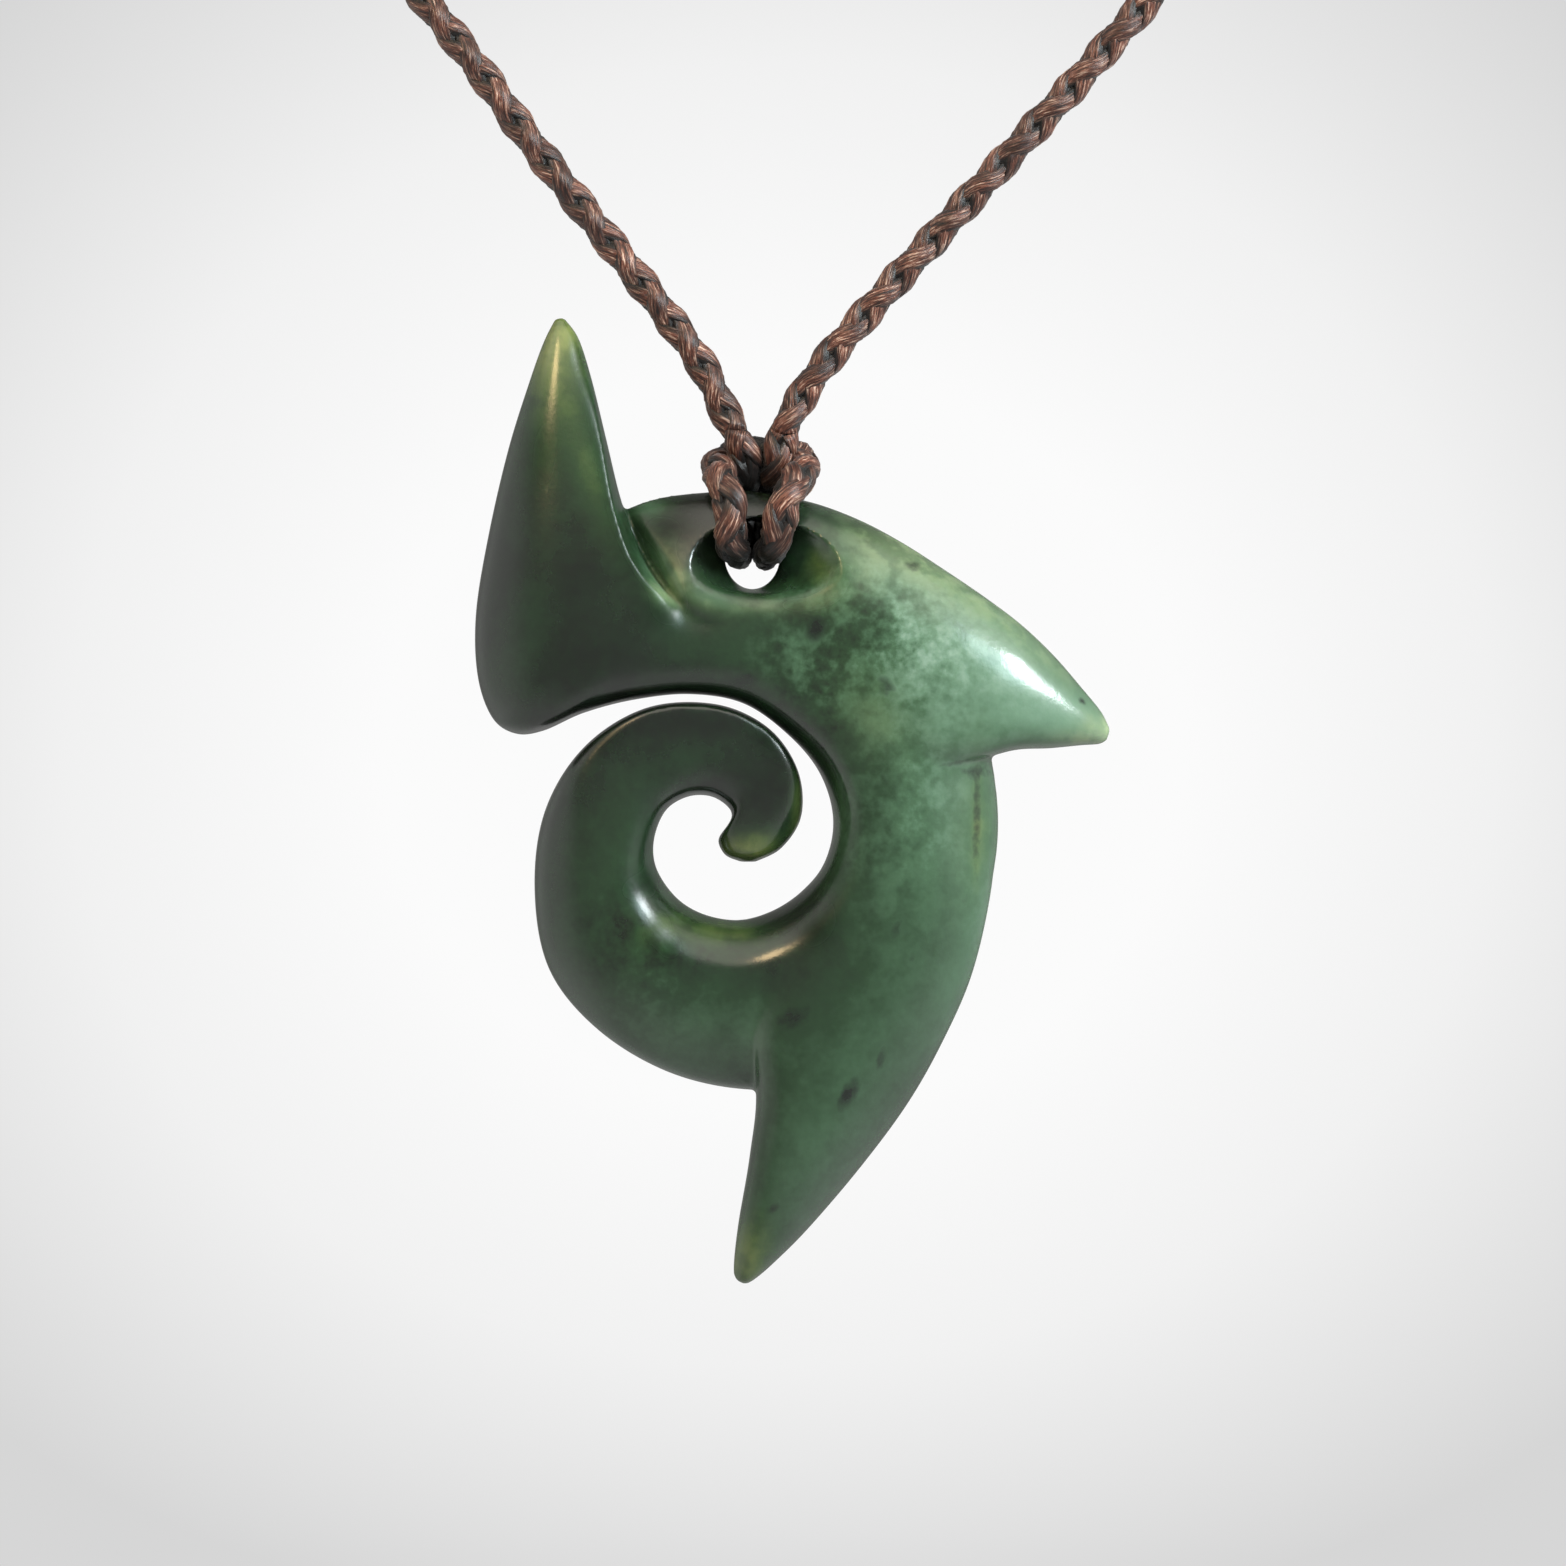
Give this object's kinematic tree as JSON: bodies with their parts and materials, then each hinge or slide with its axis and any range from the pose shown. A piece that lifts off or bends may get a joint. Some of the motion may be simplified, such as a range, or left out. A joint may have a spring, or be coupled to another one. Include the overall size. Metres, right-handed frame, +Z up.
{
  "type": "jade koru pendant",
  "caption": "Carved jade koru pendant with a spiral and pointed horns, tied by a lark's head hitch to a plaited neck cord.",
  "frame": {"origin": "the nape: middle of the cord's wrapped join, at the top of the loop that the pendant hangs by", "axes": "+Z up, along the hanging pendant's height; the carved face looks along -Y; +X to the right of that face"},
  "size_m": [0.1307, 0.0094, 0.2096],
  "materials": {
    "jade": "polished nephrite, green with pale mottling and dark flecks",
    "plaited_cord": "four strands of waxed brown filament, plaited round",
    "whipping_thread": "waxed brown thread, wound side by side"
  },
  "bodies": {
    "root": {"pendant": "jade", "cord_hitch": "plaited_cord", "cord_left": "plaited_cord", "cord_right": "plaited_cord", "nape_wrap": "whipping_thread"}
  },
  "joints": []
}
